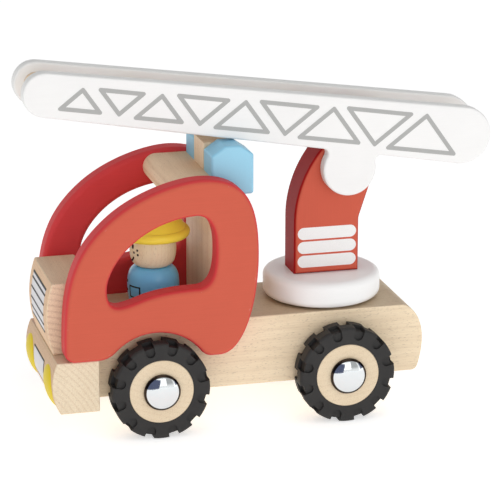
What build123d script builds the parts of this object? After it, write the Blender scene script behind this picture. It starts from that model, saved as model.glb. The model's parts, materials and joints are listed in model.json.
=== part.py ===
from build123d import *
import math
import os

# Wooden toy fire engine with a turning, tilting ladder.
# Millimetres. The vehicle faces -X, its left side is -Y, +Z is up, the floor is z = 0.
# The origin is on the floor, at the middle of the overall length and width.

# --- wheels and axles
WHEEL_R = 25.0
WHEEL_W = 13.0
WHEELBASE = 96.5
FRONT_AXLE_X = -58.8
REAR_AXLE_X = FRONT_AXLE_X + WHEELBASE
HUB_R = 16.4
HUB_FACE_Y = 43.0
AXLE_R = 2.5
CAP_R = 9.3
CAP_RISE = 3.6
CAP_GAP = 0.3
TYRE_SHOULDER_R = 1.6
LUGS = 12
TREAD_DEPTH = 2.0
TREAD_GAP = 5.2
POCKET_W = 4.8
POCKET_DEPTH = 1.2
POCKET_INNER_R = 18.8
WASHER_R = 6.0

# --- chassis, bumper and grille block
CHASSIS_HALF_W = 27.85
CHASSIS_TOP = 55.2
CHASSIS_BOTTOM = 19.2
CHASSIS_FRONT_X = -89.0
BUMPER_HALF_W = 37.5
BUMPER_TOP = 42.2
BUMPER_BOTTOM = 15.4
GRILLE_HALF_W = 24.3
GRILLE_TOP = 79.2

# --- cab
PANEL_T = 12.0
PANEL_EDGE_R = 2.6
PANEL_TOP = 131.1
ARCH_R = 28.9
ARCH_X = -60.3
ARCH_Z = 25.4
WALL_X = -29.1
WALL_T = 12.0
WALL_TOP = 119.3
ROOF_TOP = 128.8
ROOF_T = 13.6
ROOF_FRONT_X = -51.7

# --- light bar behind the roof
BAR_DEPTH = 21.5
BAR_TOP = 144.3
BAR_CORE_HALF_W = 10.0
BAR_CHAMFER_X = 7.0
BAR_CHAMFER_Z = 4.8
BAR_EDGE_R = 1.5
CORE_DROP = 1.8
CORE_EDGE_R = 0.5
BAR_DOWEL_Z = 131.0

# --- turntable and post
TURN_X = 35.8
DISC_R = 30.2
DISC_BOTTOM = 56.4
DISC_TOP = 69.8
DISC_EDGE_R = 3.6
POST_T = 19.5
POST_W = 34.2
POST_EDGE_R = 1.8
POST_TOP_R = 15.8
POST_BEND_R = 60.0
POST_BACK_LEAN_DEG = 18.3
POST_KNEE_R = 8.0

# --- ladder, measured along its centre line from the tail circle
PIVOT_X = 45.45
PIVOT_Z = 125.6
REST_PITCH_DEG = 8.84
LADDER_LENGTH = 217.4
TIP_R = 11.2
TAIL_R = 14.9
PIVOT_FROM_TAIL = 57.3
PIVOT_DROP = 22.7
LUG_R = 13.9
RAIL_T = 7.0
RAIL_EDGE_R = 1.2
RAIL_INNER_Y = 10.05
RUNG_R = 6.0
RUNG_COUNT = 6
RUNG_SEAT = 4.0

# --- driver peg figure
DRIVER_X = -53.1
SOCKET_DEPTH = 7.0
SOCKET_R = 12.0
BODY_R = 13.3
BODY_TOP = 78.0
HEAD_R = 12.0
BRIM_R = 18.9
BRIM_BOTTOM = 93.4
BRIM_T = 4.8
CROWN_BASE_R = 16.8
CROWN_TOP_R = 7.0
CROWN_TOP = 107.0
NECK_R = 3.5
NECK_DEPTH = 5.0

# --- dowels and the turntable screw
DOWEL_R = 2.5
PIVOT_PIN_R = 4.0
SCREW_SHANK_R = 2.5
SCREW_HEAD_R = 5.0
SCREW_HEAD_T = 3.0
SCREW_SEAT_Z = 62.0
SCREW_TIP_Z = 33.0

# --- fits
RUN_FIT = 0.08
GLUE_FIT = 0.05


def box_between(x0, x1, y0, y1, z0, z1):
    """A block given by its two extreme corners."""
    centre = Pos((x0 + x1) / 2, (y0 + y1) / 2, (z0 + z1) / 2)
    return centre * Box(x1 - x0, y1 - y0, z1 - z0)


def rod(radius, start, end):
    """A round bar between two points."""
    a = Vector(*start)
    b = Vector(*end)
    base = Plane(origin=a, z_dir=b - a)
    return extrude(base * Circle(radius), amount=(b - a).length)


def on_circle(radius, angle):
    """The flat offset of a point on a circle, with the angle in radians."""
    return Vector(radius * math.cos(angle), radius * math.sin(angle))


def slab(profile, y0, y1):
    """A side profile, drawn in X and Z, made solid from y0 to y1."""
    return extrude(Plane.XZ.offset(-y1) * profile, amount=y1 - y0)


def side_edges(solid, *y_values):
    """The outline edges that lie wholly in the given planes of constant Y."""
    found = ShapeList()
    for edge in solid.edges():
        size = edge.bounding_box()
        flat = size.max.Y - size.min.Y < 0.01
        if flat and any(abs(size.min.Y - y) < 0.01 for y in y_values):
            found.append(edge)
    return found


# ---------------------------------------------------------------- chassis

def chassis():
    """The long base board, with a bull-nosed tail that leans in towards its foot."""
    tail = Bezier((71.0, CHASSIS_TOP), (74.4, CHASSIS_TOP), (87.1, 47.4), (80.2, 22.6))
    heel = Bezier(
        (80.2, 22.6), (79.6, 20.5), (78.6, CHASSIS_BOTTOM), (76.6, CHASSIS_BOTTOM),
    )
    rest = Polyline(
        (76.6, CHASSIS_BOTTOM), (CHASSIS_FRONT_X, CHASSIS_BOTTOM),
        (CHASSIS_FRONT_X, CHASSIS_TOP), (71.0, CHASSIS_TOP),
    )
    board = slab(make_face([tail, heel, rest]), -CHASSIS_HALF_W, CHASSIS_HALF_W)
    board = fillet(side_edges(board, -CHASSIS_HALF_W, CHASSIS_HALF_W), 0.8)
    reach = CHASSIS_HALF_W + 1
    for x in (FRONT_AXLE_X, REAR_AXLE_X):
        board -= rod(AXLE_R + GLUE_FIT, (x, -reach, WHEEL_R), (x, reach, WHEEL_R))
    board -= rod(SOCKET_R, (DRIVER_X, 0, CHASSIS_TOP - SOCKET_DEPTH), (DRIVER_X, 0, CHASSIS_TOP + 1))
    board -= rod(SCREW_SHANK_R, (TURN_X, 0, SCREW_TIP_Z), (TURN_X, 0, CHASSIS_TOP + 1))
    for hole in cab_dowel_rods(GLUE_FIT) + bumper_dowel_rods(GLUE_FIT):
        board -= hole
    return board


def bumper():
    """A cross block with a bowed front, wider than the chassis."""
    front = ThreePointArc((-110.3, BUMPER_TOP), (-112.9, 29.5), (-108.7, BUMPER_BOTTOM))
    rest = Polyline(
        (-108.7, BUMPER_BOTTOM), (CHASSIS_FRONT_X, BUMPER_BOTTOM),
        (CHASSIS_FRONT_X, BUMPER_TOP), (-110.3, BUMPER_TOP),
    )
    block = slab(make_face([front, rest]), -BUMPER_HALF_W, BUMPER_HALF_W)
    block = fillet(block.edges(), 0.7)
    for hole in bumper_dowel_rods(GLUE_FIT):
        block -= hole
    return block


def grille_block():
    """The bonnet block that stands on the bumper, with a bowed front face."""
    front = ThreePointArc((-109.6, BUMPER_TOP), (-112.9, 60.0), (-109.7, GRILLE_TOP))
    rest = Polyline(
        (-109.7, GRILLE_TOP), (CHASSIS_FRONT_X, GRILLE_TOP),
        (CHASSIS_FRONT_X, BUMPER_TOP), (-109.6, BUMPER_TOP),
    )
    block = slab(make_face([front, rest]), -GRILLE_HALF_W, GRILLE_HALF_W)
    return fillet(block.edges(), 0.9)


def bumper_dowel_rods(extra):
    """Two glue dowels that cross the joint between bumper and chassis."""
    return [
        rod(DOWEL_R + extra, (-99.0 - extra, y, 31.0), (-77.0 + extra, y, 31.0))
        for y in (-15.0, 15.0)
    ]


# ---------------------------------------------------------------- cab

def panel_outline():
    """The side profile of a cab panel: a rounded nose, a domed top and a wheel arch."""
    nose = Bezier((-106.5, 50.0), (-106.5, 81.1), (-101.8, 97.8), (-83.2, 113.4))
    brow = Bezier((-83.2, 113.4), (-68.8, 125.5), (-47.9, PANEL_TOP), (-37.0, PANEL_TOP))
    crown = Bezier((-37.0, PANEL_TOP), (-14.0, PANEL_TOP), (-7.7, 117.6), (-7.7, 90.7))
    back = Bezier((-7.7, 90.7), (-7.7, 70.0), (-13.8, 40.2), (-28.0, 40.2))
    base = Polyline(
        (-28.0, 40.2), (ARCH_X, 40.2), (ARCH_X, BUMPER_TOP), (-106.5, BUMPER_TOP), (-106.5, 50.0),
    )
    blank = make_face([nose, brow, crown, back, base])
    cut = blank - Pos(ARCH_X, ARCH_Z) * Circle(ARCH_R)
    toe = cut.vertices().sort_by_distance((-106.5, BUMPER_TOP))[0]
    cut = fillet(toe, 5.5)
    arch_front = cut.vertices().sort_by_distance((-83.7, BUMPER_TOP))[0]
    cut = fillet(arch_front, 12.0)
    arch_back = cut.vertices().sort_by_distance((-35.5, 40.2))[0]
    return fillet(arch_back, 7.0)


def window_outline():
    """The cab window: a sloping arch over a sill that dips towards the nose."""
    top = Bezier((-84.8, 78.0), (-84.8, 89.4), (-69.5, 111.1), (-40.0, 112.9))
    rear = Bezier((-40.0, 112.9), (-35.0, 113.2), (-29.6, 109.5), (-29.6, 95.0))
    heel = Bezier((-29.6, 95.0), (-29.6, 84.0), (-31.2, 75.6), (-39.5, 75.6))
    sill = Bezier((-39.5, 75.6), (-64.0, 75.6), (-68.1, 70.6), (-77.2, 69.2))
    corner = Bezier((-77.2, 69.2), (-83.4, 68.2), (-84.8, 73.0), (-84.8, 78.0))
    return make_face([top, rear, heel, sill, corner])


def cab_side(side):
    """One cab side panel; side is -1 for left and +1 for right."""
    inner = side * CHASSIS_HALF_W
    outer = side * (CHASSIS_HALF_W + PANEL_T)
    panel = slab(panel_outline() - window_outline(), min(inner, outer), max(inner, outer))
    panel = fillet(side_edges(panel, inner, outer), PANEL_EDGE_R)
    for hole in cab_dowel_rods(GLUE_FIT):
        panel -= hole
    return panel


def cab_dowel_rods(extra):
    """Four glue dowels that pin the cab sides to the chassis."""
    rods = []
    for x, z in ((-84.2, 49.6), (-25.5, 48.5)):
        for side in (-1, 1):
            start = side * (CHASSIS_HALF_W - 12.0 - extra)
            end = side * (CHASSIS_HALF_W + 7.0 + extra)
            rods.append(rod(DOWEL_R + extra, (x, start, z), (x, end, z)))
    return rods


def cab_back_wall():
    """The upright board behind the driver, between the two cab sides."""
    wall = box_between(
        WALL_X, WALL_X + WALL_T, -CHASSIS_HALF_W, CHASSIS_HALF_W, CHASSIS_TOP, WALL_TOP,
    )
    return fillet(wall.edges().filter_by(Axis.Y), 0.6)


def roof_board():
    """The roof board, with a full round front edge."""
    radius = ROOF_T / 2
    mid = ROOF_TOP - radius
    nose_x = ROOF_FRONT_X + radius
    nose = ThreePointArc((nose_x, ROOF_TOP), (ROOF_FRONT_X, mid), (nose_x, ROOF_TOP - ROOF_T))
    rest = Polyline(
        (nose_x, ROOF_TOP - ROOF_T), (WALL_X, ROOF_TOP - ROOF_T), (WALL_X, ROOF_TOP),
        (nose_x, ROOF_TOP),
    )
    return slab(make_face([nose, rest]), -CHASSIS_HALF_W, CHASSIS_HALF_W)


def light_block(side):
    """A lamp block with chamfered shoulders; side is -1 for left and +1 for right."""
    x0 = WALL_X
    x1 = WALL_X + BAR_DEPTH
    profile = make_face(Polyline(
        (x0, WALL_TOP), (x1, WALL_TOP), (x1, BAR_TOP - BAR_CHAMFER_Z),
        (x1 - BAR_CHAMFER_X, BAR_TOP), (x0 + BAR_CHAMFER_X, BAR_TOP),
        (x0, BAR_TOP - BAR_CHAMFER_Z), close=True,
    ))
    inner = side * BAR_CORE_HALF_W
    outer = side * CHASSIS_HALF_W
    block = slab(profile, min(inner, outer), max(inner, outer))
    block = fillet(block.edges(), BAR_EDGE_R)
    return block - light_bar_dowel(GLUE_FIT)


def light_bar_core():
    """The plain block between the two lamp blocks, square in front and chamfered behind."""
    x0 = WALL_X
    x1 = WALL_X + BAR_DEPTH
    top = BAR_TOP - CORE_DROP
    profile = make_face(Polyline(
        (x0, WALL_TOP), (x1, WALL_TOP), (x1, top - BAR_CHAMFER_Z),
        (x1 - BAR_CHAMFER_X, top), (x0, top), close=True,
    ))
    core = slab(profile, -BAR_CORE_HALF_W, BAR_CORE_HALF_W)
    return fillet(core.edges(), CORE_EDGE_R) - light_bar_dowel(GLUE_FIT)


def light_bar_dowel(extra=0.0):
    """The glue dowel that threads the three blocks of the light bar together."""
    x = WALL_X + BAR_DEPTH / 2
    reach = BAR_CORE_HALF_W + 10.0 + extra
    return rod(DOWEL_R + extra, (x, -reach, BAR_DOWEL_Z), (x, reach, BAR_DOWEL_Z))


# ---------------------------------------------------------------- wheels

def wheel_place(x, side):
    """The frame of one wheel: local +Z points out of the vehicle, local +X stays forward."""
    return Plane(origin=(x, side * HUB_FACE_Y, WHEEL_R), x_dir=(1, 0, 0), z_dir=(0, side, 0))


def wheel_hub(x, side):
    """A turned wooden wheel centre with softened rims."""
    disc = Pos(0, 0, -WHEEL_W / 2) * Cylinder(HUB_R, WHEEL_W)
    disc = fillet(disc.edges(), 0.6)
    bore = Pos(0, 0, -WHEEL_W / 2) * Cylinder(AXLE_R + RUN_FIT, WHEEL_W + 2)
    return wheel_place(x, side) * (disc - bore)


def tyre_cutter(angle, z_sign):
    """The gap between two tread lugs of one row, running down the sidewall to a round end."""
    outside = 0.5
    half_width = WHEEL_W / 2
    gap_low = WHEEL_R - TREAD_DEPTH
    gap = box_between(gap_low, WHEEL_R + 1, -TREAD_GAP / 2, TREAD_GAP / 2, -0.4, half_width + outside)
    pocket_z = half_width - POCKET_DEPTH
    end_x = POCKET_INNER_R + POCKET_W / 2
    groove = box_between(
        end_x, WHEEL_R + 1, -POCKET_W / 2, POCKET_W / 2, pocket_z, half_width + outside,
    )
    end = rod(POCKET_W / 2, (end_x, 0, pocket_z), (end_x, 0, half_width + outside))
    cutter = gap + groove + end
    if z_sign < 0:
        cutter = mirror(cutter, Plane.XY)
    return Pos(0, 0, -half_width) * Rot(0, 0, angle) * cutter


def tyre(x, side):
    """A rubber tyre with two staggered rows of tread lugs and grooved sidewalls."""
    bend = TYRE_SHOULDER_R * (1 - math.sqrt(0.5))
    shoulder_in = WHEEL_R - TYRE_SHOULDER_R
    section = make_face([
        Line((HUB_R, 0), (shoulder_in, 0)),
        ThreePointArc((shoulder_in, 0), (WHEEL_R - bend, -bend), (WHEEL_R, -TYRE_SHOULDER_R)),
        Line((WHEEL_R, -TYRE_SHOULDER_R), (WHEEL_R, TYRE_SHOULDER_R - WHEEL_W)),
        ThreePointArc(
            (WHEEL_R, TYRE_SHOULDER_R - WHEEL_W), (WHEEL_R - bend, bend - WHEEL_W),
            (shoulder_in, -WHEEL_W),
        ),
        Line((shoulder_in, -WHEEL_W), (HUB_R, -WHEEL_W)),
        Line((HUB_R, -WHEEL_W), (HUB_R, 0)),
    ])
    ring = revolve(Plane.XZ * section, Axis.Z)
    step = 360.0 / LUGS
    for i in range(LUGS):
        ring -= tyre_cutter((i + 0.5) * step, 1)
        ring -= tyre_cutter(i * step, -1)
    return wheel_place(x, side) * ring


def axle(x):
    """A steel axle that runs from cap to cap."""
    reach = HUB_FACE_Y + CAP_GAP + CAP_RISE - 1.4
    return rod(AXLE_R, (x, -reach, WHEEL_R), (x, reach, WHEEL_R))


def axle_cap(x, side):
    """A domed push-on cap that keeps the wheel on its axle."""
    dome = ThreePointArc((0, CAP_RISE), (CAP_R * 0.62, CAP_RISE * 0.80), (CAP_R, 0.9))
    rim = Polyline((CAP_R, 0.9), (CAP_R, 0), (0, 0), (0, CAP_RISE))
    cap = revolve(Plane.XZ * make_face([dome, rim]), Axis.Z)
    cap -= Pos(0, 0, (CAP_RISE - 1.4) / 2 - 0.5) * Cylinder(AXLE_R, CAP_RISE - 1.4 + 1.0)
    return wheel_place(x, side) * Pos(0, 0, CAP_GAP) * cap


def wheel_washers():
    """Four spacers that keep the wheels off the chassis."""
    washers = []
    for x in (FRONT_AXLE_X, REAR_AXLE_X):
        for side in (-1, 1):
            near = (x, side * CHASSIS_HALF_W, WHEEL_R)
            far = (x, side * (HUB_FACE_Y - WHEEL_W - 0.3), WHEEL_R)
            washers.append(rod(WASHER_R, near, far) - rod(AXLE_R + GLUE_FIT, near, far))
    return Compound(children=washers)


# ---------------------------------------------------------------- turntable

def turntable_disc():
    """A thick round table with softened rims, bored for its screw."""
    height = DISC_TOP - DISC_BOTTOM
    disc = Pos(TURN_X, 0, DISC_BOTTOM + height / 2) * Cylinder(DISC_R, height)
    disc = fillet(disc.edges(), DISC_EDGE_R)
    disc -= rod(SCREW_SHANK_R + RUN_FIT, (TURN_X, 0, DISC_BOTTOM - 1), (TURN_X, 0, DISC_TOP + 1))
    disc -= rod(SCREW_HEAD_R + 0.6, (TURN_X, 0, SCREW_SEAT_Z), (TURN_X, 0, DISC_TOP + 1))
    for hole in post_dowel_rods(GLUE_FIT):
        disc -= hole
    return disc


def turntable_washer():
    """The thin disc between chassis and turntable."""
    low = (TURN_X, 0, CHASSIS_TOP)
    high = (TURN_X, 0, DISC_BOTTOM - 0.15)
    return rod(12.0, low, high) - rod(SCREW_SHANK_R + GLUE_FIT, low, high)


def turntable_screw():
    """The pan-head screw that the turntable turns on."""
    shank = rod(SCREW_SHANK_R, (TURN_X, 0, SCREW_TIP_Z), (TURN_X, 0, SCREW_SEAT_Z + 1.0))
    head_low = SCREW_SEAT_Z + 0.3
    head = rod(SCREW_HEAD_R, (TURN_X, 0, head_low), (TURN_X, 0, head_low + SCREW_HEAD_T))
    slot = box_between(
        TURN_X - SCREW_HEAD_R, TURN_X + SCREW_HEAD_R, -0.5, 0.5,
        head_low + SCREW_HEAD_T - 1.2, head_low + SCREW_HEAD_T + 1,
    )
    return shank + head - slot


def post_dowel_rods(extra=0.0):
    """Two glue dowels between turntable and post."""
    return [
        rod(DOWEL_R + extra, (TURN_X + dx, 0, 61.0 - extra), (TURN_X + dx, 0, 80.0 + extra))
        for dx in (-11.0, 11.0)
    ]


def ladder_post():
    """The post: square on the turntable, then bent back to a round head at the pivot."""
    front_x = TURN_X - POST_W / 2
    back_x = TURN_X + POST_W / 2
    head = Vector(PIVOT_X, PIVOT_Z)
    # The front sweep touches the front face and the round head without a corner.
    reach = POST_BEND_R - POST_TOP_R
    sweep_x = front_x + POST_BEND_R
    sweep_z = PIVOT_Z - math.sqrt(reach ** 2 - (PIVOT_X - sweep_x) ** 2)
    sweep = Vector(sweep_x, sweep_z)
    sweep_end = math.atan2(PIVOT_Z - sweep_z, PIVOT_X - sweep_x)
    sweep_mid = (math.pi + sweep_end) / 2
    lean = math.radians(POST_BACK_LEAN_DEG)
    crest_mid = (sweep_end - lean) / 2
    front_low = Vector(front_x, sweep_z)
    front_mid = sweep + on_circle(POST_BEND_R, sweep_mid)
    front_top = sweep + on_circle(POST_BEND_R, sweep_end)
    crest = head + on_circle(POST_TOP_R, crest_mid)
    back_top = head + on_circle(POST_TOP_R, -lean)
    knee = Vector(back_x, back_top.Y - (back_top.X - back_x) / math.tan(lean))
    profile = make_face([
        Line((back_x, DISC_TOP), (front_x, DISC_TOP)),
        Line((front_x, DISC_TOP), front_low),
        ThreePointArc(front_low, front_mid, front_top),
        ThreePointArc(front_top, crest, back_top),
        Line(back_top, knee),
        Line(knee, (back_x, DISC_TOP)),
    ])
    profile = fillet(profile.vertices().sort_by_distance(knee)[0], POST_KNEE_R)
    post = slab(profile, -POST_T / 2, POST_T / 2)
    post = fillet(side_edges(post, -POST_T / 2, POST_T / 2), POST_EDGE_R)
    post -= rod(PIVOT_PIN_R + RUN_FIT, (PIVOT_X, -POST_T, PIVOT_Z), (PIVOT_X, POST_T, PIVOT_Z))
    for hole in post_dowel_rods(GLUE_FIT):
        post -= hole
    return post


# ---------------------------------------------------------------- ladder

def ladder_point(from_tail, above):
    """A point of the ladder: distance from the tail circle towards the tip, and above its line."""
    pitch = math.radians(REST_PITCH_DEG)
    along = from_tail - PIVOT_FROM_TAIL
    up = above + PIVOT_DROP
    x = PIVOT_X - along * math.cos(pitch) + up * math.sin(pitch)
    z = PIVOT_Z + along * math.sin(pitch) + up * math.cos(pitch)
    return x, z


def ladder_rail(side):
    """One tapered rail with a round lug at the pivot; side is -1 for left and +1 for right."""
    # The two straight edges touch the tail circle and the smaller tip circle.
    taper = math.asin((TAIL_R - TIP_R) / LADDER_LENGTH)
    corners = [
        (TAIL_R * math.sin(taper), TAIL_R * math.cos(taper)),
        (LADDER_LENGTH + TIP_R * math.sin(taper), TIP_R * math.cos(taper)),
        (LADDER_LENGTH + TIP_R * math.sin(taper), -TIP_R * math.cos(taper)),
        (TAIL_R * math.sin(taper), -TAIL_R * math.cos(taper)),
    ]
    points = [ladder_point(a, b) for a, b in corners]
    tip = ladder_point(LADDER_LENGTH + TIP_R, 0)
    tail = ladder_point(-TAIL_R, 0)
    beam = make_face([
        Line(points[0], points[1]),
        ThreePointArc(points[1], tip, points[2]),
        Line(points[2], points[3]),
        ThreePointArc(points[3], tail, points[0]),
    ])
    profile = beam + Pos(PIVOT_X, PIVOT_Z) * Circle(LUG_R)
    neck_low = PIVOT_Z + LUG_R * 0.2
    necks = [
        v for v in profile.vertices()
        if abs(v.X - PIVOT_X) < LUG_R + 4 and neck_low < v.Y < PIVOT_Z + LUG_R
    ]
    profile = fillet(necks, 3.0)
    inner = side * RAIL_INNER_Y
    outer = side * (RAIL_INNER_Y + RAIL_T)
    rail = slab(profile, min(inner, outer), max(inner, outer))
    rail = fillet(side_edges(rail, inner, outer), RAIL_EDGE_R)
    for i in range(RUNG_COUNT):
        rail -= ladder_rung(i, GLUE_FIT)
    return rail - ladder_pivot_dowel(GLUE_FIT)


def ladder_rung(index, extra=0.0):
    """One round rung, glued into blind holes in both rails."""
    x, z = ladder_point(LADDER_LENGTH * index / (RUNG_COUNT - 1), 0)
    reach = RAIL_INNER_Y + RUNG_SEAT + extra
    return rod(RUNG_R + extra, (x, -reach, z), (x, reach, z))


def ladder_pivot_dowel(extra=0.0):
    """The dowel that the ladder tilts on: glued in the rails, free in the post."""
    reach = RAIL_INNER_Y + 4.5 + extra
    return rod(PIVOT_PIN_R + extra, (PIVOT_X, -reach, PIVOT_Z), (PIVOT_X, reach, PIVOT_Z))


# ---------------------------------------------------------------- driver

def driver_body():
    """The peg body: a plain foot in the floor socket under round shoulders."""
    foot_r = SOCKET_R - 0.3
    foot_z = CHASSIS_TOP - SOCKET_DEPTH
    shoulders = Bezier(
        (foot_r, CHASSIS_TOP + 2.0), (BODY_R - 0.4, 60.5), (BODY_R + 2.6, BODY_TOP - 1.1),
        (8.4, BODY_TOP),
    )
    rest = Polyline((8.4, BODY_TOP), (0, BODY_TOP), (0, foot_z), (foot_r, foot_z),
                    (foot_r, CHASSIS_TOP + 2.0))
    body = revolve(Plane.XZ * make_face([shoulders, rest]), Axis.Z)
    neck = Cylinder(NECK_R + GLUE_FIT, 2 * NECK_DEPTH)
    return Pos(DRIVER_X, 0, 0) * (body - Pos(0, 0, BODY_TOP) * neck)


def driver_head():
    """The turned head: upright sides, a round chin and a neck peg."""
    cheek = Bezier(
        (7.0, BODY_TOP), (HEAD_R - 0.6, BODY_TOP + 0.7), (HEAD_R + 0.5, 83.0),
        (HEAD_R - 0.5, BRIM_BOTTOM),
    )
    rest = Polyline(
        (HEAD_R - 0.5, BRIM_BOTTOM), (9.0, BRIM_BOTTOM), (9.0, BRIM_BOTTOM + 4.0),
        (0, BRIM_BOTTOM + 4.0), (0, BODY_TOP - NECK_DEPTH), (NECK_R, BODY_TOP - NECK_DEPTH),
        (NECK_R, BODY_TOP), (7.0, BODY_TOP),
    )
    head = revolve(Plane.XZ * make_face([cheek, rest]), Axis.Z)
    return Pos(DRIVER_X, 0, 0) * head


def driver_helmet():
    """The helmet: a thick round brim under a crown like a blunt cone."""
    brim_top = BRIM_BOTTOM + BRIM_T
    lip_x = BRIM_R - 1.6
    hollow_r = 9.05
    hollow_top = BRIM_BOTTOM + 4.0
    crown = Bezier(
        (CROWN_BASE_R, brim_top), (CROWN_BASE_R - 2.0, brim_top + 3.0),
        (CROWN_TOP_R + 5.0, CROWN_TOP), (CROWN_TOP_R, CROWN_TOP),
    )
    cap = Line((CROWN_TOP_R, CROWN_TOP), (0, CROWN_TOP))
    under = Polyline(
        (0, CROWN_TOP), (0, hollow_top), (hollow_r, hollow_top), (hollow_r, BRIM_BOTTOM),
        (lip_x, BRIM_BOTTOM),
    )
    lip = ThreePointArc((lip_x, BRIM_BOTTOM), (BRIM_R, BRIM_BOTTOM + BRIM_T / 2), (lip_x, brim_top))
    shelf = Line((lip_x, brim_top), (CROWN_BASE_R, brim_top))
    helmet = revolve(Plane.XZ * make_face([crown, cap, under, lip, shelf]), Axis.Z)
    return Pos(DRIVER_X, 0, 0) * helmet


def all_parts():
    """Every piece by its node name."""
    parts = {
        "chassis": chassis(),
        "bumper": bumper(),
        "bumper_dowels": Compound(children=bumper_dowel_rods(0.0)),
        "grille_block": grille_block(),
        "cab_side_left": cab_side(-1),
        "cab_side_right": cab_side(1),
        "cab_dowels": Compound(children=cab_dowel_rods(0.0)),
        "cab_back_wall": cab_back_wall(),
        "roof_board": roof_board(),
        "light_block_left": light_block(-1),
        "light_block_right": light_block(1),
        "light_bar_core": light_bar_core(),
        "light_bar_dowel": light_bar_dowel(),
        "front_axle": axle(FRONT_AXLE_X),
        "rear_axle": axle(REAR_AXLE_X),
        "wheel_washers": wheel_washers(),
        "turntable_washer": turntable_washer(),
        "turntable_screw": turntable_screw(),
        "turntable_disc": turntable_disc(),
        "post_dowels": Compound(children=post_dowel_rods()),
        "ladder_post": ladder_post(),
        "ladder_rail_left": ladder_rail(-1),
        "ladder_rail_right": ladder_rail(1),
        "ladder_pivot_dowel": ladder_pivot_dowel(),
        "driver_body": driver_body(),
        "driver_head": driver_head(),
        "driver_helmet": driver_helmet(),
    }
    for i in range(RUNG_COUNT):
        parts[f"ladder_rung_{i + 1}"] = ladder_rung(i)
    for end, x in (("front", FRONT_AXLE_X), ("rear", REAR_AXLE_X)):
        for hand, side in (("left", -1), ("right", 1)):
            parts[f"wheel_hub_{end}_{hand}"] = wheel_hub(x, side)
            parts[f"tyre_{end}_{hand}"] = tyre(x, side)
            parts[f"axle_cap_{end}_{hand}"] = axle_cap(x, side)
    return parts


os.makedirs("parts", exist_ok=True)
for node, solid in all_parts().items():
    export_step(solid, f"parts/{node}.step")
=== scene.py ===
import json
import math

import bmesh
import bpy
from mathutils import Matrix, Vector
from mathutils.bvhtree import BVHTree


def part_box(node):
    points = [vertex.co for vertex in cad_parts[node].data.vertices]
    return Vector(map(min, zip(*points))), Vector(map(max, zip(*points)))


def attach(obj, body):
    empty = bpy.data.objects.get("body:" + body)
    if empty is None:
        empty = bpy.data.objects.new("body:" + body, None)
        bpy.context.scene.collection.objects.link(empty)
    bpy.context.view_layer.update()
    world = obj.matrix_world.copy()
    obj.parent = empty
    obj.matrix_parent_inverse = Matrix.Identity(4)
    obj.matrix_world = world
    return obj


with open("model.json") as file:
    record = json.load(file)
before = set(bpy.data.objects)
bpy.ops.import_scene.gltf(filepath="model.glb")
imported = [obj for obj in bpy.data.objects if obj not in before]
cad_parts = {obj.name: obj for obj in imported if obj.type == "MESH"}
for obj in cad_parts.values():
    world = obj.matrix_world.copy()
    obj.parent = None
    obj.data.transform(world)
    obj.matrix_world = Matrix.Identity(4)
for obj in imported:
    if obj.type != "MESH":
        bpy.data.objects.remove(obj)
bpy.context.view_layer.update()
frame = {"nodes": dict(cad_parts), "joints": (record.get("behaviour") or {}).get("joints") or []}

# A wooden toy fire engine. Everything is in metres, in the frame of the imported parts:
# the vehicle faces -X, its left side is -Y, +Z is up and the floor is z = 0.

MM = 0.001
PRINT_RISE = 0.1 * MM
PRINT_SPACING = 1.2 * MM  # the longest step between a print's points, so that it follows a curve
RAY_START = 50 * MM  # how far ahead of a surface the rays that look for it start
nodes = frame["nodes"]
joints = {joint["name"]: joint for joint in frame["joints"]}
SIDES = (("left", -1), ("right", 1))


# ------------------------------------------------------------------ node materials

BEECH_LIGHT = (0.90, 0.735, 0.535)
BEECH_DARK = (0.60, 0.39, 0.225)
# painted sheen: the red lacquer lightened to coral, on the faces that the light falls on
CORAL_WITH_SHEEN = (0.62, 0.118, 0.072)
DEEP_RED = (0.66, 0.055, 0.060)
# painted shade: the post's front, back and top are a darker red than its sides
POST_SHADED_RED = (0.38, 0.006, 0.008)
WHITE = (0.935, 0.93, 0.925)
SKY = (0.34, 0.66, 0.84)
# painted shade: the lamp blocks' front, back and top are a darker blue than their sides
SKY_SHADED = (0.29, 0.60, 0.80)
BODY_BLUE = (0.19, 0.62, 1.0)
YELLOW = (1.0, 0.82, 0.08)
RAIL_WHITE = (0.90, 0.893, 0.883)
# painted shade: the rails' top, bottom, ends and edge roundings are greyer than their sides
RAIL_EDGE_SHADE = (0.81, 0.81, 0.80)
# painted light: the disc's wall is a shade lighter than its top and bottom
DISC_WALL_LIT = (0.95, 0.945, 0.935)
# painted shade: the dark ring on the cap's wall, for the shadow in the gap between cap and hub
CAP_RIM_SHADE = (0.045, 0.030, 0.022)


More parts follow.
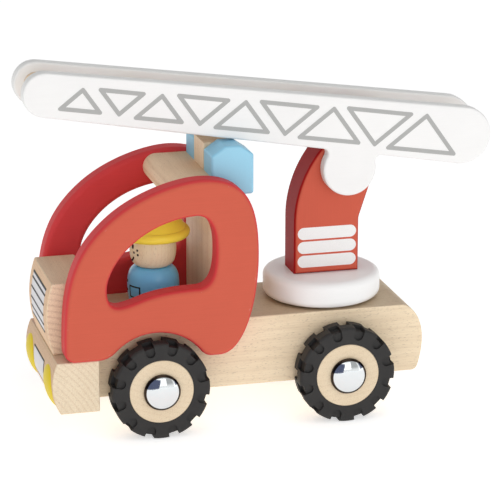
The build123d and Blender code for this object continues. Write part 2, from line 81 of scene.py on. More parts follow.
class Paint:
    """A material with a Principled shader, and short ways to add nodes to it."""

    def __init__(self, name, **uniform):
        self.material = bpy.data.materials.new(name)
        self.material.use_nodes = True
        self.tree = self.material.node_tree
        self.shader = self.tree.nodes["Principled BSDF"]
        for socket, value in uniform.items():
            self.shader.inputs[socket.replace("_", " ")].default_value = value
        self.place = self.add("ShaderNodeTexCoord").outputs["Object"]

    def add(self, kind, inputs=(), **settings):
        node = self.tree.nodes.new(kind)
        for key, value in settings.items():
            setattr(node, key, value)
        for key, value in dict(inputs).items():
            self.feed(node.inputs[key], value)
        return node

    def feed(self, socket, value):
        if isinstance(value, bpy.types.NodeSocket):
            self.tree.links.new(value, socket)
        else:
            socket.default_value = value

    def math(self, operation, a, b=0.0, c=0.0, clamp=False):
        node = self.add("ShaderNodeMath", {0: a, 1: b, 2: c}, operation=operation, use_clamp=clamp)
        return node.outputs[0]

    def mapped(self, scale=(1, 1, 1), shift=(0, 0, 0)):
        inputs = {"Vector": self.place, "Location": shift, "Scale": scale}
        return self.add("ShaderNodeMapping", inputs).outputs[0]

    def noise(self, vector, scale, detail=3.0, roughness=0.5):
        inputs = {"Vector": vector, "Scale": scale, "Detail": detail, "Roughness": roughness}
        return self.add("ShaderNodeTexNoise", inputs).outputs["Fac"]

    def ramp(self, factor, *stops):
        """A grey ramp from (position, level) stops."""
        node = self.add("ShaderNodeValToRGB", {"Fac": factor})
        elements = node.color_ramp.elements
        while len(elements) < len(stops):
            elements.new(0.5)
        for element, (position, level) in zip(elements, stops):
            element.position = position
            element.color = (level, level, level, 1)
        return node.outputs["Color"]

    def mix(self, factor, a, b, blend="MIX"):
        node = self.add("ShaderNodeMix", data_type="RGBA", blend_type=blend)
        self.feed(node.inputs[0], factor)
        self.feed(node.inputs[6], a if isinstance(a, bpy.types.NodeSocket) else tuple(a) + (1,))
        self.feed(node.inputs[7], b if isinstance(b, bpy.types.NodeSocket) else tuple(b) + (1,))
        return node.outputs[2]

    def normal_part(self, axis, side=0):
        """How squarely the surface faces along an axis of the part, either way or to one side, up to 1."""
        normal = self.add("ShaderNodeTexCoord").outputs["Normal"]
        parts = self.add("ShaderNodeSeparateXYZ", {0: normal})
        along = parts.outputs["XYZ".index(axis)]
        return self.math("MULTIPLY", along, side) if side else self.math("ABSOLUTE", along)

    def step(self, value, low, high):
        """A soft step from 0 to 1 as the value goes from low to high."""
        inputs = {"Value": value, "From Min": low, "From Max": high}
        return self.add("ShaderNodeMapRange", inputs, interpolation_type="SMOOTHSTEP").outputs[0]

    def bump(self, height, strength, distance):
        inputs = {"Height": height, "Strength": strength, "Distance": distance}
        bumped = self.add("ShaderNodeBump", inputs).outputs[0]
        self.feed(self.shader.inputs["Normal"], bumped)

    def finish(self, colour=None, roughness=None):
        if colour is not None:
            self.feed(self.shader.inputs["Base Color"], colour)
        if roughness is not None:
            self.feed(self.shader.inputs["Roughness"], roughness)
        return self.material


def stretched(axis, along, across):
    """Texture scale for a pattern that runs along one axis."""
    return tuple(along if name == axis else across for name in "XYZ")


def fibres(paint, axis, seed):
    """Fine streaks and short dark flecks along the grain."""
    shift = (seed * 0.37, seed * 0.21, seed * 0.53)
    streaks = paint.noise(paint.mapped(stretched(axis, 0.035, 1.0), shift), 1700.0, 4.0, 0.62)
    flecks = paint.noise(paint.mapped(stretched(axis, 0.22, 1.0), shift), 2600.0, 2.0, 0.5)
    return streaks, flecks


def bare_wood(
    name, axis, pith, ring, light=BEECH_LIGHT, dark=BEECH_DARK, seed=0.0, contrast=0.5, endgrain=0.35,
    top=0.9, front=None,
):
    """Oiled beech: growth rings about a distant pith, fibres, flecks and blotches.

    The grain runs along the axis, and ring is the width of one year's growth. Contrast is how dark the
    late wood is, and endgrain is how much darker it is where the grain ends. Upward faces get painted
    shade, darker by the factor top; faces towards the front get painted shade from the colour front.
    """
    paint = Paint(name, Specular_IOR_Level=0.35)
    rings = paint.add(
        "ShaderNodeTexWave",
        {
            "Vector": paint.mapped(stretched(axis, 0.25, 1.0), pith), "Distortion": 1.6,
            "Scale": 2 * math.pi / (20 * ring), "Detail": 2.0, "Detail Scale": 0.35,
            "Detail Roughness": 0.55,
        },
        wave_type="RINGS", rings_direction=axis, wave_profile="SIN",
    ).outputs["Fac"]
    streaks, flecks = fibres(paint, axis, seed)
    blotch = paint.noise(paint.mapped(stretched(axis, 0.5, 1.0), (seed, 0, seed)), 55.0, 2.0)
    square = paint.step(paint.normal_part(axis), 0.75, 0.95)
    late = paint.ramp(rings, (0.0, 0.0), (0.72, 0.25), (1.0, 1.0))
    amount = paint.math("MULTIPLY_ADD", square, endgrain, contrast)
    tone = paint.math("MULTIPLY", late, amount)
    tone = paint.math("ADD", tone, paint.math("MULTIPLY", streaks, 0.55))
    tone = paint.math("ADD", tone, paint.math("MULTIPLY_ADD", blotch, 0.5, -0.38))
    pores = paint.noise(paint.mapped(stretched(axis, 0.05, 1.0)), 1900.0, 2.0, 0.7)
    pores = paint.math("MULTIPLY", paint.math("SUBTRACT", pores, 0.5), square)
    tone = paint.math("MULTIPLY_ADD", pores, 1.1, tone, clamp=True)
    colour = paint.mix(tone, light, dark)
    speck = paint.ramp(flecks, (0.30, 1.0), (0.40, 0.0))
    brown = [channel * 0.55 for channel in dark]
    colour = paint.mix(paint.math("MULTIPLY", speck, 0.38), colour, brown)
    # painted shade: upward faces are darker by the factor top
    top_shade_mask = paint.step(paint.normal_part("Z", 1), 0.5, 0.95)
    colour = paint.mix(top_shade_mask, colour, paint.mix(1.0, colour, (top, top * 0.96, top * 0.93), "MULTIPLY"))
    # painted shade: faces towards the front are darker and browner by the colour front
    if front:
        front_shade_mask = paint.step(paint.normal_part("X", -1), 0.5, 0.95)
        colour = paint.mix(front_shade_mask, colour, paint.mix(1.0, colour, front, "MULTIPLY"))
    rough = paint.math("MULTIPLY_ADD", streaks, 0.25, 0.42)
    paint.bump(paint.math("ADD", streaks, paint.math("MULTIPLY", late, 0.3)), 0.18, 0.1 * MM)
    return paint.finish(colour, rough)


def lacquer(
    name, face, edge, flat_axis, grain_axis, rough, seed, show=0.10, coat=0.0, side=0, spec=0.2,
):
    """Coloured satin lacquer on wood: a face colour and an edge colour, with faint grain below.

    The faces across flat_axis have the face colour, or only the one on a side of it, and the rest have
    the edge colour. The two are lit and shaded copies of the lacquer, so the step between them is
    painted light and shade. Show is how much of the grain shows through.
    """
    paint = Paint(name, Specular_IOR_Level=spec, Coat_Weight=coat, Coat_Roughness=0.12)
    streaks, flecks = fibres(paint, grain_axis, seed)
    cloud = paint.noise(paint.mapped(shift=(seed, seed, 0)), 38.0, 3.0)
    square = paint.normal_part(flat_axis, side)
    # painted light and shade: faces across flat_axis get the face colour, the rest the edge colour
    flat = paint.step(square, 0.60, 0.97)
    colour = paint.mix(flat, edge, face)
    shade = paint.math("MULTIPLY_ADD", streaks, show, 1.0 - show * 0.5)
    shade = paint.math("MULTIPLY", shade, paint.math("MULTIPLY_ADD", cloud, 0.08, 0.96))
    grey = paint.add("ShaderNodeCombineXYZ", {0: shade, 1: shade, 2: shade}).outputs[0]
    colour = paint.mix(1.0, colour, grey, "MULTIPLY")
    # painted highlight: a lighter band along the edge roundings, broken into patches
    highlight_patches = paint.step(paint.noise(paint.mapped(shift=(seed, 0, seed)), 420.0, 3.0, 0.6), 0.66, 0.74)
    edges = paint.math("SUBTRACT", paint.step(square, 0.80, 0.95), paint.step(square, 0.95, 0.999))
    highlight_colour = [0.3 + 0.7 * channel for channel in face]
    colour = paint.mix(paint.math("MULTIPLY", paint.math("MULTIPLY", highlight_patches, edges), 0.35), colour, highlight_colour)
    paint.bump(paint.math("MULTIPLY_ADD", flecks, 0.4, streaks), 0.10, 0.08 * MM)
    return paint.finish(colour, paint.math("MULTIPLY_ADD", cloud, 0.16, rough - 0.08))


def rubber(name):
    """Moulded rubber: fine grain, dusty high spots."""
    paint = Paint(name, Specular_IOR_Level=0.32)
    fine = paint.noise(paint.mapped(), 2400.0, 3.0, 0.6)
    cloud = paint.noise(paint.mapped(), 90.0, 3.0)
    colour = paint.mix(cloud, (0.018, 0.017, 0.017), (0.040, 0.038, 0.036))
    paint.bump(fine, 0.25, 0.08 * MM)
    return paint.finish(colour, paint.math("MULTIPLY_ADD", cloud, 0.2, 0.5))


def metal(name, colour, low, high, scale, rim_axis=None):
    """Plated or drawn metal with faint smears, and painted shade on the wall round rim_axis, if it is
    given.

    The roughness goes from low to high, in smears of the given noise scale.
    """
    paint = Paint(name, Metallic=1.0)
    smear = paint.noise(paint.mapped(), scale, 3.0)
    tint = paint.mix(smear, [c * 0.93 for c in colour], colour)
    if rim_axis:
        # painted shade: the wall round rim_axis is darkened, standing in for the shadow of the gap at the
        # cap's rim
        dome = paint.step(paint.normal_part(rim_axis), 0.838, 0.850)
        tint = paint.mix(dome, CAP_RIM_SHADE, tint)
    paint.bump(paint.noise(paint.mapped(), 900.0, 2.0), 0.04, 0.05 * MM)
    return paint.finish(tint, paint.math("MULTIPLY_ADD", smear, high - low, low))


def nylon(name):
    """Natural nylon: off-white with a waxy surface."""
    paint = Paint(name, Subsurface_Weight=0.2, Subsurface_Scale=1.0 * MM)
    cloud = paint.noise(paint.mapped(), 240.0, 3.0)
    colour = paint.mix(cloud, (0.70, 0.68, 0.62), (0.82, 0.81, 0.77))
    paint.bump(cloud, 0.15, 0.05 * MM)
    return paint.finish(colour, paint.math("MULTIPLY_ADD", cloud, 0.2, 0.4))


def ink(name, colour):
    """Screen-printed ink: nearly even, with a slight mottle where it sinks into the wood."""
    paint = Paint(name, Specular_IOR_Level=0.15)
    mottle = paint.noise(paint.mapped(), 1500.0, 3.0, 0.6)
    low = [channel * 0.88 for channel in colour]
    paint.bump(mottle, 0.12, 0.04 * MM)
    rough = paint.math("MULTIPLY_ADD", mottle, 0.2, 0.35)
    return paint.finish(paint.mix(mottle, low, colour), rough)


# top and front below set the painted shade on upward and forward faces
chassis_wood = bare_wood(
    "beech_board", "X", pith=(0.02, 0.03, 0.09), ring=5.2 * MM, light=(0.96, 0.80, 0.575),
    dark=(0.60, 0.40, 0.23), seed=1.0, contrast=0.10, top=0.66,
)
bumper_wood = bare_wood(
    "beech_bumper", "Y", pith=(0.155, 0.0, 0.015), ring=2.6 * MM, light=(0.86, 0.73, 0.54),
    dark=(0.62, 0.45, 0.28), seed=2.0, contrast=0.12, endgrain=0.16, front=(0.84, 0.68, 0.58),
)
grille_wood = bare_wood(
    "beech_bonnet", "Y", pith=(0.121, 0.0, -0.014), ring=3.0 * MM, light=(0.95, 0.77, 0.555),
    dark=(0.60, 0.42, 0.26), seed=3.0, contrast=0.12, endgrain=0.24, top=0.80, front=(0.86, 0.72, 0.62),
)
wall_wood = bare_wood("beech_wall", "Z", pith=(-0.04, 0.06, 0.0), ring=7.0 * MM, seed=4.0, contrast=0.20)
roof_wood = bare_wood(
    "beech_roof", "Y", pith=(0.03, 0.0, -0.05), ring=3.5 * MM, light=(0.92, 0.715, 0.50),
    seed=5.0, contrast=0.35, top=0.97,
)
core_wood = bare_wood("beech_core", "Z", pith=(0.05, 0.08, 0.0), ring=3.0 * MM, seed=6.0, contrast=0.4)
rung_wood = bare_wood("beech_dowel", "Y", pith=(0.02, 0.0, -0.07), ring=3.0 * MM, seed=7.0, contrast=0.3)
hub_wood = bare_wood(
    "beech_hub", "Y", pith=(0.0, 0.0, -0.2), ring=3.0 * MM, light=(0.82, 0.68, 0.49),
    dark=(0.66, 0.49, 0.30), seed=8.0, contrast=0.1, endgrain=0.05,
)
head_wood = bare_wood(
    "beech_head", "Z", pith=(0.10, 0.05, 0.0), ring=1.8 * MM, light=(1.0, 0.90, 0.64),
    dark=(0.84, 0.66, 0.40), seed=9.0, contrast=0.24, top=1.0,
)
# the panels' outer faces get the coral with its painted sheen; the inner faces, in shade, keep the deep red
panel_reds = {
    hand: lacquer(
        f"red_lacquer_panel_{hand}", CORAL_WITH_SHEEN, DEEP_RED, "Y", "X", rough=0.50, seed=1.0, side=side, spec=0.10,
    )
    for hand, side in SIDES
}
post_red = lacquer("red_lacquer_post", CORAL_WITH_SHEEN, POST_SHADED_RED, "Y", "Z", rough=0.45, seed=2.0, spec=0.08)
rail_white = lacquer("white_lacquer_rail", RAIL_WHITE, RAIL_EDGE_SHADE, "Y", "X", rough=0.36, seed=3.0, show=0.05)
disc_white = lacquer("white_lacquer_disc", WHITE, DISC_WALL_LIT, "Z", "X", rough=0.34, seed=4.0, show=0.05)
lamp_blue = lacquer("blue_lacquer_lamp", SKY, SKY_SHADED, "Y", "Y", rough=0.40, seed=5.0, show=0.06)
body_blue = lacquer(
    "blue_gloss_body", BODY_BLUE, BODY_BLUE, "Z", "Z", rough=0.30, seed=6.0, show=0.06, coat=0.6,
)
helmet_yellow = lacquer(
    "yellow_lacquer_helmet", YELLOW, YELLOW, "Z", "Z", rough=0.36, seed=7.0, show=0.08, coat=0.2,
)
tyre_rubber = rubber("tyre_rubber")
chrome = metal("cap_chrome", (0.77, 0.80, 0.81), low=0.04, high=0.12, scale=300.0, rim_axis="Y")
steel = metal("axle_steel", (0.56, 0.56, 0.57), low=0.25, high=0.4, scale=500.0)
washer_nylon = nylon("washer_nylon")
ink_black = ink("ink_black", (0.010, 0.010, 0.011))
ink_grey = ink("ink_grey", (0.47, 0.47, 0.46))
ink_white = ink("ink_white", (0.95, 0.945, 0.935))
ink_plate = ink("ink_pale_grey", (0.80, 0.78, 0.80))
ink_yellow = ink("ink_yellow", (0.84, 0.64, 0.012))

finishes = {
    "chassis": chassis_wood,
    "bumper": bumper_wood,
    "bumper_dowels": rung_wood,
    "grille_block": grille_wood,
    "cab_side_left": panel_reds["left"],
    "cab_side_right": panel_reds["right"],
    "cab_dowels": rung_wood,
    "cab_back_wall": wall_wood,
    "roof_board": roof_wood,
    "light_block_left": lamp_blue,
    "light_block_right": lamp_blue,
    "light_bar_core": core_wood,
    "light_bar_dowel": rung_wood,
    "front_axle": steel,
    "rear_axle": steel,
    "wheel_washers": washer_nylon,
    "turntable_washer": washer_nylon,
    "turntable_screw": steel,
    "turntable_disc": disc_white,
    "post_dowels": rung_wood,
    "ladder_post": post_red,
    "ladder_rail_left": rail_white,
    "ladder_rail_right": rail_white,
    "ladder_pivot_dowel": rung_wood,
    "driver_body": body_blue,
    "driver_head": head_wood,
    "driver_helmet": helmet_yellow,
}
for name in nodes:
    if name.startswith("ladder_rung"):
        finishes[name] = rung_wood
    elif name.startswith("wheel_hub"):
        finishes[name] = hub_wood
    elif name.startswith("tyre"):
        finishes[name] = tyre_rubber
    elif name.startswith("axle_cap"):
        finishes[name] = chrome
for name, finish in finishes.items():
    mesh = nodes[name].data
    mesh.materials.clear()
    mesh.materials.append(finish)


# ------------------------------------------------------------------ mesh helpers

def add_piece(name, shell, material, body):
    """Makes a closed bmesh into a named piece that rides on a body."""
    bmesh.ops.recalc_face_normals(shell, faces=shell.faces)
    mesh = bpy.data.meshes.new(name)
    shell.to_mesh(mesh)
    shell.free()
    mesh.materials.append(material)
    piece = bpy.data.objects.new(name, mesh)
    bpy.context.scene.collection.objects.link(piece)
    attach(piece, body)


def surface_of(node):
    """The CAD node's surface, to be hit by rays."""
    mesh = nodes[node].data
    points = [vertex.co.copy() for vertex in mesh.vertices]
    return BVHTree.FromPolygons(points, [tuple(polygon.vertices) for polygon in mesh.polygons])


def densified(rings):
    """The same rings with points added along the long sides, as many on each ring."""
    outer = [Vector(point) for point in rings[0]]
    count = len(outer)
    sides = [(outer[(i + 1) % count] - outer[i]).length for i in range(count)]
    cuts = [max(1, math.ceil(side / PRINT_SPACING)) for side in sides]
    fuller = []
    for ring in rings:
        if len(ring) != count:
            fuller.append([Vector(point) for point in ring])
            continue
        points = []
        for i, cut in enumerate(cuts):
            first, last = Vector(ring[i]), Vector(ring[(i + 1) % count])
            points += [first.lerp(last, k / cut) for k in range(cut)]
        fuller.append(points)
    return fuller


def bridge(mesh, first, second):
    """A band of faces between two loops, or a fan if the second is one point."""
    count = len(first)
    for i in range(count):
        j = (i + 1) % count
        if len(second) == 1:
            mesh.faces.new((first[i], first[j], second[0]))
        else:
            mesh.faces.new((first[i], first[j], second[j], second[i]))


def film(name, rings, surface, toward, material, body, lifts=None):
    """Printed ink: rings of points, laid on a surface along a ray direction, with a thin edge.

    Each ring has as many points as the next, and a single last point fills the middle. Lifts says
    how many print thicknesses each ring stands proud.
    """
    mesh = bmesh.new()
    direction = Vector(toward).normalized()
    top, base = [], []
    for ring, rise in zip(densified(rings), lifts or [1] * len(rings)):
        upper, lower = [], []
        for point in ring:
            hit, normal, _, _ = surface.ray_cast(point - direction * RAY_START, direction)
            if hit is None:
                hit, normal, _, _ = surface.find_nearest(point)
            if normal.dot(direction) > 0:
                normal = -normal
            upper.append(mesh.verts.new(hit + normal * PRINT_RISE * rise))
            lower.append(mesh.verts.new(hit - normal * PRINT_RISE))
        top.append(upper)
        base.append(lower)
    for layer in (top, base):
        for outer, inner in zip(layer, layer[1:]):
            bridge(mesh, outer, inner)
    bridge(mesh, top[0], base[0])
    if len(rings[-1]) > 1:
        bridge(mesh, top[-1], base[-1])
    add_piece(name, mesh, material, body)


def inset_corners(corners, distance):
    """The corners of the same polygon with its sides moved inwards."""
    moved = []
    count = len(corners)
    for i, corner in enumerate(corners):
        corner = Vector(corner)
        before = (Vector(corners[i - 1]) - corner).normalized()
        after = (Vector(corners[(i + 1) % count]) - corner).normalized()
        half = before.angle(after) / 2
        moved.append(corner + (before + after).normalized() * (distance / math.sin(half)))
    return moved


def rounded_loop(corners, radius, steps=5):
    """A convex polygon with round corners, as 2D points."""
    loop = []
    count = len(corners)
    for i, corner in enumerate(corners):
        corner = Vector(corner)
        before = (Vector(corners[i - 1]) - corner).normalized()
        after = (Vector(corners[(i + 1) % count]) - corner).normalized()
        half = before.angle(after) / 2
        centre = corner + (before + after).normalized() * (radius / math.sin(half))
        first = corner + before * (radius / math.tan(half)) - centre
        last = corner + after * (radius / math.tan(half)) - centre
        start = math.atan2(first.y, first.x)
        turn = (math.atan2(last.y, last.x) - start + math.pi) % (2 * math.pi) - math.pi
        for k in range(steps + 1):
            angle = start + turn * k / steps
            loop.append((centre.x + radius * math.cos(angle), centre.y + radius * math.sin(angle)))
    return loop


def rectangle(half_width, low, high, radius):
    """A rectangle with round corners, centred on the second axis, as 2D points."""
    corners = [(-half_width, low), (half_width, low), (half_width, high), (-half_width, high)]
    return rounded_loop(corners, radius)


def circle(centre, radius, count=48):
    """A circle as 2D points."""
    x, y = centre
    angles = [2 * math.pi * i / count for i in range(count)]
    return [(x + radius * math.cos(angle), y + radius * math.sin(angle)) for angle in angles]


# ------------------------------------------------------------------ camera, floor and light

TOY_MIDDLE = Vector((0.0, 0.0, 0.08))


def add_camera():
    """The camera of the photograph: a long lens, slightly above, ahead of the left side."""
    data = bpy.data.cameras.new("camera")
    camera = bpy.data.objects.new("camera", data)
    bpy.context.scene.collection.objects.link(camera)
    azimuth = math.radians(-14.62)
    elevation = math.radians(16.93)
    back = Vector((
        math.sin(azimuth) * math.cos(elevation),
        -math.cos(azimuth) * math.cos(elevation),
        math.sin(elevation),
    ))
    camera.location = (-0.3101, -1.1559, 0.4405)
    camera.rotation_mode = "QUATERNION"
    camera.rotation_quaternion = (-back).to_track_quat("-Z", "Y")
    data.sensor_width = 36.0
    data.lens = 175.8
    data.shift_x = 0.0240
    data.shift_y = 0.0201
    data.clip_start = 0.01
    data.clip_end = 50.0
    bpy.context.scene.camera = camera


def add_sheet(name, width, depth):
    """A flat sheet about the origin."""
    x, y = width / 2, depth / 2
    mesh = bpy.data.meshes.new(name)
    mesh.from_pydata([(-x, -y, 0), (x, -y, 0), (x, y, 0), (-x, y, 0)], [], [(0, 1, 2, 3)])
    sheet = bpy.data.objects.new(name, mesh)
    bpy.context.scene.collection.objects.link(sheet)
    return sheet


def add_floor():
    """A wide pale floor that glows a little, as a lit studio table does."""
    floor = add_sheet("floor", 16.0, 16.0)
    paint = Paint("pale_floor", Roughness=0.9, Specular_IOR_Level=0.1)
    cloud = paint.noise(paint.mapped(), 3.0, 2.0)
    colour = paint.mix(cloud, (0.93, 0.93, 0.93), (0.95, 0.95, 0.95))
    paint.shader.inputs["Emission Color"].default_value = (1, 1, 1, 1)
    paint.shader.inputs["Emission Strength"].default_value = 0.52
    floor.data.materials.append(paint.finish(colour))


def add_area(name, direction, distance, size, power):
    """A soft lamp that looks at the middle of the toy from a direction."""
    data = bpy.data.lights.new(name, "AREA")
    data.shape = "RECTANGLE"
    data.size, data.size_y = size
    data.energy = power
    lamp = bpy.data.objects.new(name, data)
    bpy.context.scene.collection.objects.link(lamp)
    direction = Vector(direction).normalized()
    lamp.location = TOY_MIDDLE + direction * distance
    lamp.rotation_mode = "QUATERNION"
    lamp.rotation_quaternion = (-direction).to_track_quat("-Z", "Y")


def add_light():
    """Soft frontal studio light, and a world that is bright at the horizon and dim above it."""
    add_area("key", (0.05, -1.0, 0.40), 1.6, (1.1, 0.9), 3.35)
    add_area("side", (-1.0, -0.50, 0.22), 1.5, (0.8, 0.8), 0.35)
    add_area("top", (0.1, -0.55, 1.0), 1.6, (1.0, 1.0), 2.3)
    add_area("fill", (1.0, -0.45, 0.25), 1.8, (1.0, 1.0), 1.3)
    world = bpy.data.worlds.new("studio")
    world.use_nodes = True
    tree = world.node_tree
    background = tree.nodes["Background"]
    place = tree.nodes.new("ShaderNodeTexCoord")
    parts = tree.nodes.new("ShaderNodeSeparateXYZ")
    tree.links.new(place.outputs["Generated"], parts.inputs[0])
    ramp = tree.nodes.new("ShaderNodeValToRGB")
    ramp.color_ramp.elements[0].position = 0.15
    ramp.color_ramp.elements[0].color = (1.0, 1.0, 1.0, 1)
    ramp.color_ramp.elements[1].position = 0.75
    ramp.color_ramp.elements[1].color = (0.95, 0.95, 0.95, 1)
    tree.links.new(parts.outputs[2], ramp.inputs[0])
    tree.links.new(ramp.outputs[0], background.inputs[0])
    level = tree.nodes.new("ShaderNodeMapRange")
    tree.links.new(parts.outputs[2], level.inputs["Value"])
    for socket, value in (("From Min", 0.08), ("From Max", 0.25), ("To Min", 1.05), ("To Max", 0.52)):
        level.inputs[socket].default_value = value
    tree.links.new(level.outputs[0], background.inputs[1])
    bpy.context.scene.world = world


def add_flag(name, direction, distance, size):
    """A dark studio flag, seen only in reflections."""
    direction = Vector(direction).normalized()
    flag = add_sheet(name, *size)
    flag.location = direction * distance
    flag.rotation_mode = "QUATERNION"
    flag.rotation_quaternion = direction.to_track_quat("Z", "Y")
    paint = Paint(name, Roughness=0.8)
    cloth = paint.noise(paint.mapped(), 300.0)
    flag.data.materials.append(paint.finish(paint.mix(cloth, (0.07, 0.085, 0.16), (0.10, 0.12, 0.21))))
    for ray in ("camera", "diffuse", "transmission", "shadow", "volume_scatter"):
        setattr(flag, f"visible_{ray}", False)


add_camera()
add_floor()
add_light()
add_flag("flag_high", (-0.51, -0.82, 0.30), 1.0, (1.1, 0.75))
add_flag("flag_side", (0.90, -0.30, 0.25), 1.4, (0.7, 0.5))
bpy.context.scene.view_settings.view_transform = "Standard"


# ------------------------------------------------------------------ prints on the wood

def ladder_trusses():
    """Grey outlined triangles that stand for the ladder's lattice, on both rails' outer faces.

    Along is measured from the ladder's tail, and above from the middle of the rail. Towards the tail
    the triangles are larger and further apart.
    """
    low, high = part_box("ladder_rail_left")
    pivot = Vector(joints["ladder_tilt"]["pos_m"])
    pitch = math.radians(8.84)
    pivot_from_tail = 57.3 * MM
    pivot_drop = 22.7 * MM
    triangles = 9
    first_apex = 199.4 * MM
    line_width = 2.1 * MM
    outer_corner = 0.95 * MM
    inner_corner = 0.12 * MM
    for hand, side in SIDES:
        surface = surface_of(f"ladder_rail_{hand}")
        outside = side * max(abs(low.y), abs(high.y))

        def placed(loop, outside=outside):
            points = []
            for along, above in loop:
                run = along - pivot_from_tail
                rise = above + pivot_drop
                x = pivot.x - run * math.cos(pitch) + rise * math.sin(pitch)
                z = pivot.z + run * math.sin(pitch) + rise * math.cos(pitch)
                points.append((x, outside, z))
            return points

        apex = first_apex
        for i in range(triangles):
            half_base = 21.1 * MM - 0.0445 * apex
            over = 10.4 * MM - 0.0214 * apex
            under = 0.0225 * apex - 11.25 * MM
            tip, foot = (over, under) if i % 2 == 0 else (under, over)
            corners = [(apex, tip), (apex + half_base, foot), (apex - half_base, foot)]
            outer = rounded_loop(corners, outer_corner)
            inner = rounded_loop(inset_corners(corners, line_width), inner_corner)
            film(
                f"truss_print_{hand}_{i + 1}", [placed(outer), placed(inner)],
                surface, (0, -side, 0), ink_grey, "ladder",
            )
            apex -= 26.9 * MM - 0.037 * apex


def post_stripes():
    """Three white stripes with round ends, low on each side of the post."""
    low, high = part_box("ladder_post")
    surface = surface_of("ladder_post")
    middle_x = joints["turntable_turn"]["pos_m"][0]
    lowest = low.z + 6.55 * MM
    spacing = 7.4 * MM
    half_length = 15.5 * MM
    half_height = 3.2 * MM
    points = 32
    for hand, side in SIDES:
        for i in range(3):
            z = lowest + spacing * i
            outer, inner = [], []
            for k in range(points):
                angle = 2 * math.pi * (k + 0.5) / points
                end = math.copysign(half_length - half_height, math.cos(angle))
                x = middle_x + end + half_height * math.cos(angle)
                outer.append((x, side * high.y, z + half_height * math.sin(angle)))
                inner.append((middle_x + end * 0.9, side * high.y, z))
            film(
                f"stripe_print_{hand}_{i + 1}", [outer, inner],
                surface, (0, -side, 0), ink_white, "turntable",
            )


def patch(name, outline, node, material, rise=1, dome=0):
    """A filled print on a node's front face, from its outline as (y, z) points.

    It stands proud by rise print thicknesses at its edge, and by a dome more in its middle.
    """
    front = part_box(node)[0].x
    middle = Vector((sum(p[0] for p in outline), sum(p[1] for p in outline))) / len(outline)
    reach = max((Vector(point) - middle).length for point in outline)
    count = max(2, math.ceil(reach / PRINT_SPACING))
    rings, lifts = [], []
    for i in range(count):
        share = 1 - i / count
        lifts.append(rise + dome * (1 - share ** 3))
        rings.append([
            (front, middle.x + (y - middle.x) * share, middle.y + (z - middle.y) * share)
            for y, z in outline
        ])
    rings.append([(front, middle.x, middle.y)])
    lifts.append(rise + dome)
    film(name, rings, surface_of(node), (1, 0, 0), material, "vehicle", lifts)


def grille_print():
    """A pale panel with dark lines on the bonnet block: two close pairs, and even gaps between."""
    half_width = 16.7 * MM
    half_line = 0.52 * MM
    corner = 0.3 * MM
    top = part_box("grille_block")[1].z - 4.9 * MM
    drops = [0.0, 2.9 * MM, 7.7 * MM, 13.1 * MM, 17.9 * MM, 21.8 * MM]
    panel = rectangle(half_width, top - drops[-1], top, corner)
    patch("grille_print_panel", panel, "grille_block", ink_plate)
    for i, drop in enumerate(drops):
        z = top - drop
        line = rectangle(half_width + half_line, z - half_line, z + half_line, corner)
        patch(f"grille_print_line_{i + 1}", line, "grille_block", ink_black, rise=2)


def bumper_prints():
    """The two yellow headlights, as low domes, and the blank plate between them."""
    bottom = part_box("bumper")[0].z
    lamp_aside = 25.0 * MM
    lamp_up = 11.9 * MM
    lamp_radius = 10.5 * MM
    for hand, side in SIDES:
        lamp = circle((side * lamp_aside, bottom + lamp_up), lamp_radius)
        patch(f"headlight_print_{hand}", lamp, "bumper", ink_yellow, dome=14)
    plate_z = bottom + 14.6 * MM
    half_width = 13.0 * MM
    half_height = 5.4 * MM
    border = 0.9 * MM
    out = half_height + border
    edge = rectangle(half_width + border, plate_z - out, plate_z + out, 0.4 * MM)
    patch("plate_print_border", edge, "bumper", ink_black)
    plate = rectangle(half_width, plate_z - half_height, plate_z + half_height, 0.3 * MM)
    patch("plate_print_field", plate, "bumper", ink_plate, rise=2)


def facing(node, angle, height):
    """The outward direction at a place on a turned part, and a function that puts 2D points before it.

    The height is in z, and the angle is in degrees from straight ahead towards the vehicle's left.
    """
    low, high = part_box(node)
    axis = low.lerp(high, 0.5)
    turn = math.radians(angle)
    outward = Vector((-math.cos(turn), -math.sin(turn), 0))
    across = Vector((math.sin(turn), -math.cos(turn), 0))
    centre = Vector((axis.x, axis.y, height)) + outward * 30 * MM

    def placed(points):
        return [centre + across * a + Vector((0, 0, b)) for a, b in points]

    return outward, placed


def spot(name, node, angle, height, outline):
    """A filled black print on a turned part of the driver."""
    outward, placed = facing(node, angle, height)
    middle = (sum(p[0] for p in outline) / len(outline), sum(p[1] for p in outline) / len(outline))
    half_way = [((a + middle[0]) / 2, (b + middle[1]) / 2) for a, b in outline]
    rings = [placed(outline), placed(half_way), placed([middle])]
    film(name, rings, surface_of(node), -outward, ink_black, "driver")


def ring_print(name, node, angle, height, outer, inner):
    """A black outline on a turned part of the driver."""
    outward, placed = facing(node, angle, height)
    film(name, [placed(outer), placed(inner)], surface_of(node), -outward, ink_black, "driver")


def stroke(points, width):
    """The two sides of a line of even width through 2D points."""
    left, right = [], []
    for i, point in enumerate(points):
        before = Vector(points[max(i - 1, 0)])
        after = Vector(points[min(i + 1, len(points) - 1)])
        along = (after - before).normalized()
        aside = Vector((-along.y, along.x)) * (width / 2)
        left.append(tuple(Vector(point) + aside))
        right.append(tuple(Vector(point) - aside))
    return left, right


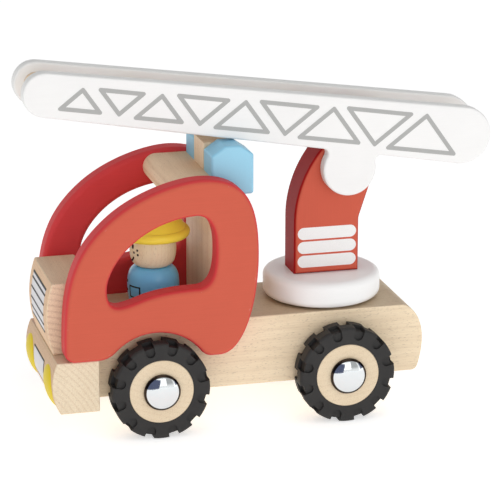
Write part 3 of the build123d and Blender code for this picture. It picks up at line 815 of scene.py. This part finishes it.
def ribbon(name, node, sides, base_z):
    """An open black line on the front of a turned part of the driver, between two rows of 2D points."""
    surface = surface_of(node)
    low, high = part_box(node)
    middle = low.lerp(high, 0.5)
    mesh = bmesh.new()
    rows = []
    for points in sides:
        for rise in (1, -1):
            row = []
            for a, b in points:
                start = Vector((middle.x - RAY_START, -a, base_z + b))
                hit, normal, _, _ = surface.ray_cast(start, Vector((1, 0, 0)))
                row.append(mesh.verts.new(hit + normal * PRINT_RISE * rise))
            rows.append(row)
    a_top, a_low, b_top, b_low = rows
    for i in range(len(a_top) - 1):
        for near, far in ((a_top, b_top), (b_top, b_low), (b_low, a_low), (a_low, a_top)):
            mesh.faces.new((near[i], near[i + 1], far[i + 1], far[i]))
    for end in (0, -1):
        mesh.faces.new((a_top[end], b_top[end], b_low[end], a_low[end]))
    add_piece(name, mesh, ink_black, "driver")


def face_prints():
    """Dots for the driver's eyes and freckles, and a curved smile."""
    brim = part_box("driver_helmet")[0].z
    eye = [(0.9 * MM * x, 1.35 * MM * y) for x, y in circle((0, 0), 1.0, 14)]
    freckle = circle((0, 0), 0.62 * MM, 12)
    for hand, side in SIDES:
        spot(f"face_eye_{hand}", "driver_head", -side * 19.0, brim - 3.9 * MM, eye)
        for i, (angle, drop) in enumerate(((24.0, 6.9 * MM), (36.0, 5.4 * MM), (37.5, 7.7 * MM))):
            spot(
                f"face_freckle_{hand}_{i + 1}", "driver_head", -side * angle, brim - drop,
                freckle,
            )
    smile = []
    for k in range(13):
        share = k / 6 - 1
        smile.append((share * 4.4 * MM, (2.7 * share ** 2 - 12.1) * MM))
    ribbon("face_smile", "driver_head", stroke(smile, 0.9 * MM), brim)


def chest_prints():
    """The pocket and the two buttons on the driver's body."""
    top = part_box("driver_body")[1].z
    half_width = 3.9 * MM
    half_height = 3.2 * MM
    line = 0.7 * MM
    outer = rectangle(half_width, -half_height, half_height, 0.4 * MM)
    inner = rectangle(half_width - line, line - half_height, half_height - line, 0.2 * MM)
    ring_print("chest_pocket", "driver_body", 31.0, top - 11.8 * MM, outer, inner)
    button = circle((0, 0), 0.8 * MM, 14)
    for i, drop in enumerate((7.4 * MM, 12.0 * MM)):
        spot(f"chest_button_{i + 1}", "driver_body", 0.0, top - drop, button)


ladder_trusses()
post_stripes()
grille_print()
bumper_prints()
face_prints()
chest_prints()
